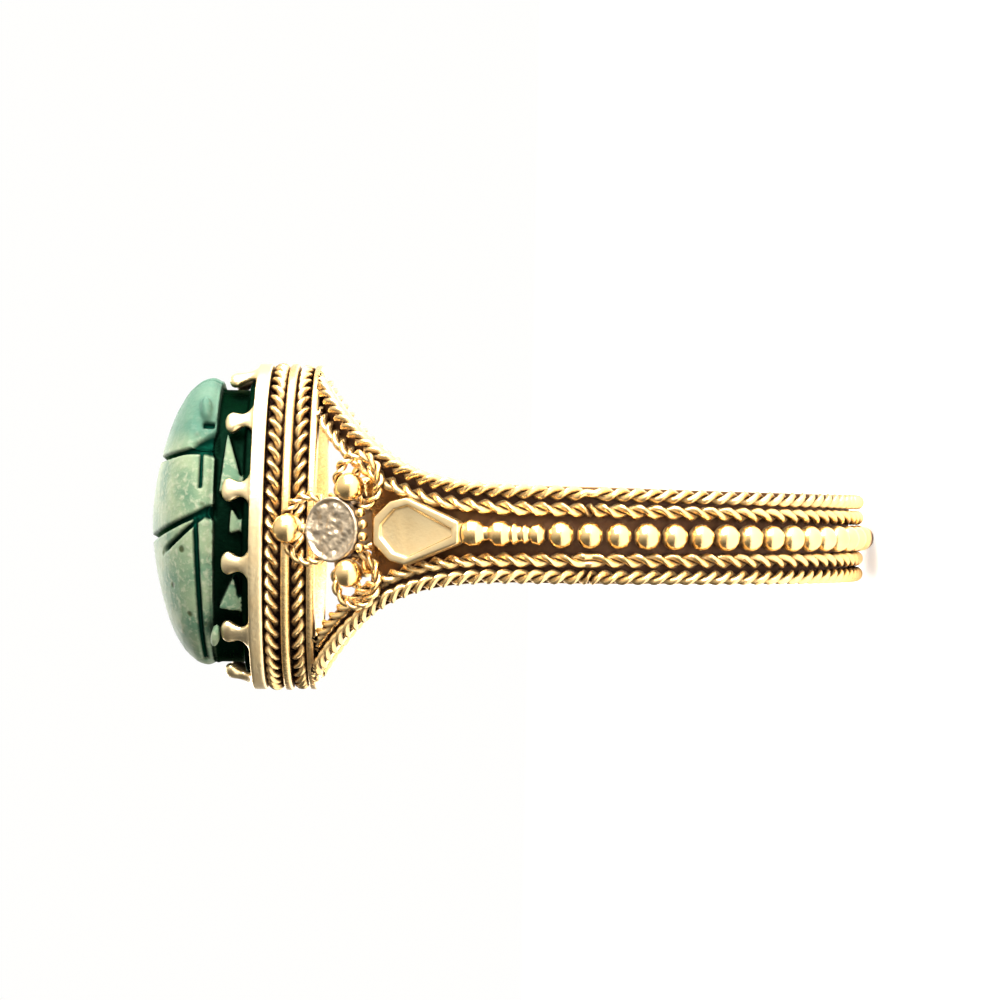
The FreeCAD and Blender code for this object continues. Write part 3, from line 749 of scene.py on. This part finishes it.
def stem_piece():
    """Turned stem: bulb, neck, bulb, two rings and an end bead."""
    at, wide = STEM_STAGES[0]
    put_down_everything()
    bpy.ops.mesh.primitive_circle_add(
        vertices=24, radius=STEM_RADIUS * wide * MM, fill_type="NGON",
        location=(0, STEM_LENGTH * (0.5 - at) * MM, 0), rotation=(math.pi / 2, 0, 0),
    )
    stem = bpy.context.object
    settle(stem)
    open_up(stem)
    for along, width in STEM_STAGES[1:]:
        growth = width / wide
        draw_out((0, STEM_LENGTH * (at - along), 0), (growth, 1, growth), (0, STEM_LENGTH * (0.5 - along), 0))
        at, wide = along, width
    shut()
    close_up(stem)
    return ease_edges(stem, 0.03, 2, 25)


# Finishes: small helpers for shader nodes


def new_group(name, inputs, outputs):
    """A shared effect with number inputs and number outputs."""
    group = bpy.data.node_groups.new(name, "ShaderNodeTree")
    for label, value in inputs.items():
        socket = group.interface.new_socket(label, in_out="INPUT", socket_type="NodeSocketFloat")
        socket.default_value = value
    for label in outputs:
        group.interface.new_socket(label, in_out="OUTPUT", socket_type="NodeSocketFloat")
    return group, group.nodes.new("NodeGroupInput"), group.nodes.new("NodeGroupOutput")


def feed(tree, socket, value):
    """Join a socket to another, or set it to a number or a colour."""
    if isinstance(value, bpy.types.NodeSocket):
        tree.links.new(value, socket)
    else:
        socket.default_value = value


def node(tree, kind, links=None, **settings):
    """Add a node, set what it has under these names and feed its inputs."""
    made = tree.nodes.new(kind)
    for name, value in settings.items():
        setattr(made, name, value)
    for place, value in (links or {}).items():
        feed(tree, made.inputs[place], value)
    return made


def maths(tree, operation, *values, clamp=False):
    """Work out one number from up to three."""
    return node(
        tree, "ShaderNodeMath", dict(enumerate(values)), operation=operation, use_clamp=clamp,
    ).outputs[0]


def blend(tree, factor, first, second):
    """A colour between two others. The colour inputs of the mixer are 6 and 7."""
    return node(
        tree, "ShaderNodeMix", {"Factor": factor, 6: first, 7: second}, data_type="RGBA",
    ).outputs[2]


def span(tree, value, old, new=(0, 1), **settings):
    """Carry a value from one span of numbers to another."""
    return node(
        tree, "ShaderNodeMapRange",
        {"Value": value, "From Min": old[0], "From Max": old[1], "To Min": new[0], "To Max": new[1]},
        **settings,
    ).outputs[0]


def millimetre_grid(tree):
    """Object coordinates in millimetres."""
    where = node(tree, "ShaderNodeTexCoord")
    return node(
        tree, "ShaderNodeMapping", {"Vector": where.outputs["Object"], "Scale": (1000, 1000, 1000)},
    ).outputs[0]


def grain_group():
    """Casting grain: a fine height and a slow drift."""
    group, given, out = new_group("casting_grain", {"Fine": 9.0, "Slow": 1.1}, ("Height", "Drift"))
    grid = millimetre_grid(group)
    for scale, detail, result in (("Fine", 4, "Height"), ("Slow", 2, "Drift")):
        noise = node(
            group, "ShaderNodeTexNoise",
            {"Vector": grid, "Scale": given.outputs[scale], "Detail": detail},
        )
        group.links.new(noise.outputs[0], out.inputs[result])
    return group


def recess_group():
    """Where a surface is closed in: a mask for oxide and for painted shade, read from ambient occlusion.
    Reach is in millimetres.
    """
    group, given, out = new_group("recess_oxide_and_shade", {"Reach": 0.45, "Low": 0.35, "High": 0.85}, ("Recess",))
    reach = maths(group, "MULTIPLY", given.outputs["Reach"], MM)
    shade = node(group, "ShaderNodeAmbientOcclusion", {"Distance": reach}, samples=8)
    closed = span(group, shade.outputs["AO"], (given.outputs["Low"], given.outputs["High"]), (1, 0))
    group.links.new(closed, out.inputs["Recess"])
    return group


GRAIN = grain_group()
RECESS = recess_group()


def use(tree, group, **values):
    """Place a shared effect in a material."""
    placed = node(tree, "ShaderNodeGroup", node_tree=group)
    for name, value in values.items():
        placed.inputs[name].default_value = value
    return placed.outputs


def new_finish(name):
    """A material, its node tree and its shader's inputs."""
    finish = bpy.data.materials.new(name)
    finish.use_nodes = True
    return finish, finish.node_tree, finish.node_tree.nodes["Principled BSDF"].inputs


def dent_in(tree, skin, height, strength, depth):
    """Small dents in the surface, their depth in millimetres."""
    bump = node(tree, "ShaderNodeBump", {"Height": height, "Strength": strength, "Distance": depth * MM})
    tree.links.new(bump.outputs[0], skin["Normal"])


GOLD_LIGHT = (1.00, 0.74, 0.35, 1)
GOLD_WARM = (1.00, 0.59, 0.21, 1)
# The first dark brown is oxide with painted shade in recesses; the second is painted shade on the hoop
# between the wires.
OXIDE_AND_SHADE = (0.040, 0.010, 0.002, 1)
HOOP_SHADE_BROWN = (0.075, 0.028, 0.008, 1)


def gold_finish(name, rough, reach, low, high, light=GOLD_LIGHT, warm=GOLD_WARM, grain=9.0, dent=0.012):
    """Gold with a bright skin, a warmer drift, and dark oxide with painted shade in the recesses."""
    finish, tree, skin = new_finish(name)
    marks = use(tree, GRAIN, Fine=grain, Slow=1.3)
    closed = use(tree, RECESS, Reach=reach, Low=low, High=high)

    tone = blend(tree, marks["Drift"], light, warm)
    broken = maths(tree, "MULTIPLY_ADD", marks["Height"], 0.6, 0.7)
    # The recess mask paints shade and oxide into the colour, darkest in the deepest hollows.
    dark = maths(tree, "MULTIPLY", closed["Recess"], broken, clamp=True)
    feed(tree, skin["Base Color"], blend(tree, dark, tone, OXIDE_AND_SHADE))

    gloss = span(tree, marks["Height"], (0, 1), (rough - 0.07, rough + 0.10))
    feed(tree, skin["Roughness"], maths(tree, "MULTIPLY_ADD", dark, 0.30, gloss))
    feed(tree, skin["Metallic"], maths(tree, "MULTIPLY_ADD", dark, -0.45, 1.0))
    dent_in(tree, skin, marks["Height"], 0.6, dent)
    return finish


def shaded_hoop(plain):
    """Band gold whose outer skin, between the wires, is darkened with painted shade."""
    finish = plain.copy()
    finish.name = "shaded_hoop"
    tree = finish.node_tree
    colour = tree.nodes["Principled BSDF"].inputs["Base Color"]
    outer = node(tree, "ShaderNodeAttribute", attribute_name="outer_skin")
    hoop_shade = maths(tree, "MULTIPLY", outer.outputs["Fac"], 0.88)
    feed(tree, colour, blend(tree, hoop_shade, colour.links[0].from_socket, HOOP_SHADE_BROWN))
    return finish


SAGE_DARK = (0.070, 0.128, 0.076, 1)
SAGE_LIGHT = (0.165, 0.205, 0.120, 1)
WORN_GREY = (0.23, 0.245, 0.165, 1)
HEAD_TEAL = (0.030, 0.095, 0.070, 1)
# The next colour is the deep green glaze in the cuts, also used for painted shade in hollows; the one after
# it is painted shade on the flank.
CUT_GREEN = (0.001, 0.020, 0.012, 1)
FLANK_SHADOW = (0.001, 0.006, 0.003, 1)
PIT_BROWN = (0.035, 0.045, 0.018, 1)


def glaze_finish():
    """Worn sage-green glaze, deep green in the cuts, painted shade in the hollows and on the flank, with
    brown pits.
    """
    finish, tree, skin = new_finish("worn_green_glaze")
    marks = use(tree, GRAIN, Fine=5.5, Slow=0.8)
    closed = use(tree, RECESS, Reach=0.60, Low=0.40, High=0.95)
    grid = millimetre_grid(tree)

    tone = node(tree, "ShaderNodeValToRGB", {"Fac": marks["Drift"]})
    for stop, (place, colour) in zip(tone.color_ramp.elements, ((0.36, SAGE_DARK), (0.62, SAGE_LIGHT))):
        stop.position = place
        stop.color = colour
    worn = blend(tree, span(tree, marks["Height"], (0.50, 0.72)), tone.outputs[0], WORN_GREY)
    along = node(tree, "ShaderNodeSeparateXYZ", {0: grid}).outputs["Y"]
    headed = blend(tree, span(tree, along, (2.4, 3.2), (0, 0.75)), worn, HEAD_TEAL)

    depth = node(tree, "ShaderNodeAttribute", attribute_name="cut_depth").outputs["Fac"]
    # The cuts hold deep green glaze; the recess mask adds painted shade in the other hollows.
    filled = maths(tree, "MAXIMUM", span(tree, depth, (0.10, 0.60)), closed["Recess"])
    flank = node(tree, "ShaderNodeAttribute", attribute_name="flank_shade").outputs["Fac"]
    # Painted shade: the flank and the hollows go near black, and turning them metallic takes their sheen
    # away.
    shaded = blend(tree, flank, blend(tree, filled, headed, CUT_GREEN), FLANK_SHADOW)
    feed(tree, skin["Metallic"], maths(tree, "MAXIMUM", flank, filled, clamp=True))

    cells = node(tree, "ShaderNodeTexVoronoi", {"Vector": grid, "Scale": 1.1})
    pit = span(tree, cells.outputs["Distance"], (0.09, 0.17), (1, 0))
    pit = maths(tree, "SUBTRACT", pit, flank, clamp=True)
    feed(tree, skin["Base Color"], blend(tree, pit, shaded, PIT_BROWN))
    feed(tree, skin["Roughness"], span(tree, marks["Height"], (0, 1), (0.42, 0.75)))
    skin["Specular IOR Level"].default_value = 0.35
    skin["Specular Tint"].default_value = (0.35, 0.42, 0.35, 1)
    dent_in(tree, skin, maths(tree, "SUBTRACT", marks["Height"], pit), 0.8, 0.03)
    return finish


polished = gold_finish("polished_gold", 0.20, 0.40, 0.30, 0.80)
wire_gold = gold_finish("wire_gold", 0.20, 0.30, 0.42, 0.92)
band_gold = gold_finish("band_gold", 0.26, 0.60, 0.40, 0.95)
hammered = gold_finish(
    "hammered_gold", 0.38, 0.16, 0.30, 0.85,
    light=(0.70, 0.58, 0.42, 1), warm=(0.44, 0.32, 0.19, 1), grain=6.0, dent=0.05,
)
leaf_gold = gold_finish(
    "leaf_gold", 0.30, 0.16, 0.35, 0.80, light=(1.00, 0.79, 0.44, 1), warm=(0.96, 0.66, 0.30, 1),
)
# Painted light: a paler copy of the gold, so the claws and crown band read as brightly lit.
crown_gold_lit = gold_finish(
    "crown_gold_lit", 0.30, 0.45, 0.28, 0.75, light=(1.00, 0.82, 0.49, 1), warm=(1.00, 0.71, 0.34, 1),
)
hoop_gold = shaded_hoop(band_gold)
glaze = glaze_finish()


# Setting the ring together


def set_wires():
    """The four wires of the shank and the two round the bezel."""
    for side_name, side in (("head", 1), ("tail", -1)):
        for row, row_name in enumerate(("outer", "inner")):
            name = f"{side_name}_{row_name}"
            hand_over(shank_rope(row, side), f"{name}_twist", wire_gold, [f"{name}_rope"])
    for name, radius, level, hand in (
        ("back", BACK_ROPE_RADIUS, BACK_ROPE_LEVEL, 1), ("front", FRONT_ROPE_RADIUS, FRONT_ROPE_LEVEL, -1),
    ):
        twist = wind(oval_line(radius, level), radius, HEAD_STRAND, hand, True)
        hand_over(twist, f"{name}_twist", wire_gold, [f"{name}_rope"])


def set_castings():
    """Crown, scarab, the bezel's bands and the hoop. Widths are those of the eased edges."""
    hand_over(cast_crown(), "cast_crown", crown_gold_lit, ["claw_crown"], 180)
    hand_over(carve_scarab(), "carved_scarab", glaze, ["scarab"], 180)
    widths = {"bezel_wall": 0.03, "back_rim": 0.07, "plain_wire": 0.09, "seat_ledge": 0.03}
    for name, width in widths.items():
        ring = ease_edges(casting_of(name), width)
        hand_over(ring, f"{name}_band", band_gold, [name])
    hoop = ease_edges(casting_of("shank_hoop"), 0.04)
    # The outer skin between the wires is marked for painted shade.
    mark = hoop.data.attributes.new("outer_skin", "FLOAT", "FACE")
    for face in hoop.data.polygons:
        outward = Vector((face.center.x, 0, face.center.z)).normalized()
        mark.data[face.index].value = 1.0 if face.normal.dot(outward) > 0.7 else 0.0
    hand_over(hoop, "plain_hoop", hoop_gold, ["shank_hoop"])


def round_disc(master, angle, reach):
    """A granule beside the disc, at an angle from across and a reach from its middle."""
    level = COLLAR_WIRE + DISC_HEIGHT / 2
    return set_granule(master, (reach * math.cos(angle), reach * math.sin(angle), level), UP)


def set_trefoil(side, place):
    """Disc, twisted collars, beads and link granules of one shoulder."""
    head, tail = math.pi / 2, -math.pi / 2
    disc = place_on(disc_piece(), place)
    hand_over(disc, f"{side}_hammered_disc", hammered, [f"{side}_trefoil_disc"])
    ring = place_on(collar_piece((0, BEZEL_COLLAR_RADIUS + COLLAR_WIRE), BEZEL_COLLAR_RADIUS), place)
    hand_over(ring, f"{side}_bezel_twist_ring", wire_gold, [f"{side}_bezel_collar"])
    rings = join_up([
        place_on(collar_piece((sign * SIDE_COLLAR_ACROSS, -SIDE_COLLAR_BACK), SIDE_COLLAR_RADIUS), place)
        for sign in (-1, 1)
    ])
    hand_over(rings, f"{side}_side_twist_rings", wire_gold, [f"{side}_side_collars"])

    big, small, tiny = granule(BEZEL_BEAD_RADIUS, 4), granule(SIDE_BEAD_RADIUS, 4), granule(LINK_RADIUS)
    beads = [round_disc(big, head, DISC_RADIUS + 2 * LINK_RADIUS + BEZEL_BEAD_RADIUS)]
    for sign in (-1, 1):
        aim = math.atan2(-SIDE_COLLAR_BACK, sign * SIDE_COLLAR_ACROSS)
        beads.append(round_disc(small, aim, DISC_RADIUS + SIDE_BEAD_RADIUS))
    beads = place_on(join_up(beads), place)
    hand_over(beads, f"{side}_trefoil_granules", polished, [f"{side}_trefoil_beads"])
    pitch = 2.1 * LINK_RADIUS / DISC_RADIUS
    links = [round_disc(tiny, head, DISC_RADIUS + LINK_RADIUS)]
    for share in (-1.5, -0.5, 0.5, 1.5):
        links.append(round_disc(tiny, tail + share * pitch, DISC_RADIUS + LINK_RADIUS))
    links = place_on(join_up(links), place)
    hand_over(links, f"{side}_solder_granules", polished, [f"{side}_link_granules"])
    for master in (big, small, tiny):
        bpy.data.objects.remove(master)


def set_shoulders():
    """Trefoil, leaf and stem of both shoulders; the far one is the near one turned half round."""
    for side, spin in (("near", Matrix.Identity(4)), ("far", Matrix.Rotation(math.pi, 4, "Z"))):
        set_trefoil(side, spin @ trefoil_place())
        leaf = ease_edges(casting_of(f"{side}_leaf_plaque"), 0.09)
        hand_over(leaf, f"{side}_leaf", leaf_gold, [f"{side}_leaf_plaque"])
        stem = place_on(stem_piece(), spin @ stem_place())
        hand_over(stem, f"{side}_baluster", polished, [f"{side}_turned_stem"], 60)


# Studio, in metres. The camera stands at +X with the shank to the right of the picture.
CAMERA_PLACE = (0.110, 0.00105, 0.00265)
CAMERA_ROLL = math.radians(1.109)
SENSOR = 36
LENS = SENSOR * 110 / 34
LAMP_AIM = Vector((0, 0, 0.002))
SOFTBOXES = (
    ("front_box", (0.11, 0.11, 0.05), 0.07, 0.55),
    ("top_box", (0.01, 0.16, 0.03), 0.14, 0.7),
    ("back_box", (-0.13, -0.02, 0.10), 0.12, 0.25),
)


def set_floor():
    """Pale floor that glows a little, like lit paper."""
    put_down_everything()
    bpy.ops.mesh.primitive_plane_add(size=2.4, location=(0, 0, cad_box[0][2]))
    floor = bpy.context.object
    floor.name = "pale_floor"
    paper, _, skin = new_finish("pale_paper")
    skin["Base Color"].default_value = (0.90, 0.89, 0.87, 1)
    skin["Roughness"].default_value = 0.9
    skin["Emission Color"].default_value = (1.0, 0.995, 0.98, 1)
    skin["Emission Strength"].default_value = 0.55
    floor.data.materials.append(paper)


def set_lamps():
    """Three soft boxes, each a warm white square aimed at the ring."""
    for name, place, size, power in SOFTBOXES:
        data = bpy.data.lights.new(name, "AREA")
        data.shape = "RECTANGLE"
        data.size = data.size_y = size
        data.energy = power
        data.color = (1, 0.98, 0.95)
        lamp = bpy.data.objects.new(name, data)
        lamp.location = place
        lamp.rotation_euler = (LAMP_AIM - Vector(place)).to_track_quat("-Z", "Y").to_euler()
        bpy.context.scene.collection.objects.link(lamp)


def set_air():
    """A white room: bright from the top of the picture, darker from below, plain to the camera."""
    world = bpy.data.worlds.new("studio")
    world.use_nodes = True
    bpy.context.scene.world = world
    tree = world.node_tree
    air = tree.nodes["Background"].inputs
    way = node(tree, "ShaderNodeTexCoord")
    height = node(tree, "ShaderNodeSeparateXYZ", {0: way.outputs["Generated"]}).outputs["Y"]
    glow = span(tree, height, (-0.85, 0.50), (0.12, 1.05), interpolation_type="SMOOTHSTEP")
    seen = node(tree, "ShaderNodeLightPath")
    strength = node(tree, "ShaderNodeMix", {"Factor": seen.outputs["Is Camera Ray"], "A": glow, "B": 1.0})
    air["Color"].default_value = (1.0, 0.997, 0.985, 1)
    tree.links.new(strength.outputs[0], air["Strength"])


def set_camera():
    """The photo's view, from the side of the near shoulder."""
    camera = bpy.data.cameras.new("photo_camera")
    camera.sensor_width = SENSOR
    camera.lens = LENS
    camera.clip_start, camera.clip_end = 0.005, 5
    holder = bpy.data.objects.new("photo_camera", camera)
    right = Vector((0, math.sin(CAMERA_ROLL), -math.cos(CAMERA_ROLL)))
    up = Vector((0, math.cos(CAMERA_ROLL), math.sin(CAMERA_ROLL)))
    turn = Matrix((right, up, Vector((1, 0, 0)))).transposed().to_4x4()
    holder.matrix_world = Matrix.Translation(CAMERA_PLACE) @ turn
    bpy.context.scene.collection.objects.link(holder)
    bpy.context.scene.camera = holder
    bpy.context.scene.view_settings.view_transform = "Standard"


set_floor()
set_lamps()
set_air()
set_camera()
set_wires()
hand_over(bead_row_piece(), "granule_row", polished, ["bead_row"])
set_castings()
set_shoulders()
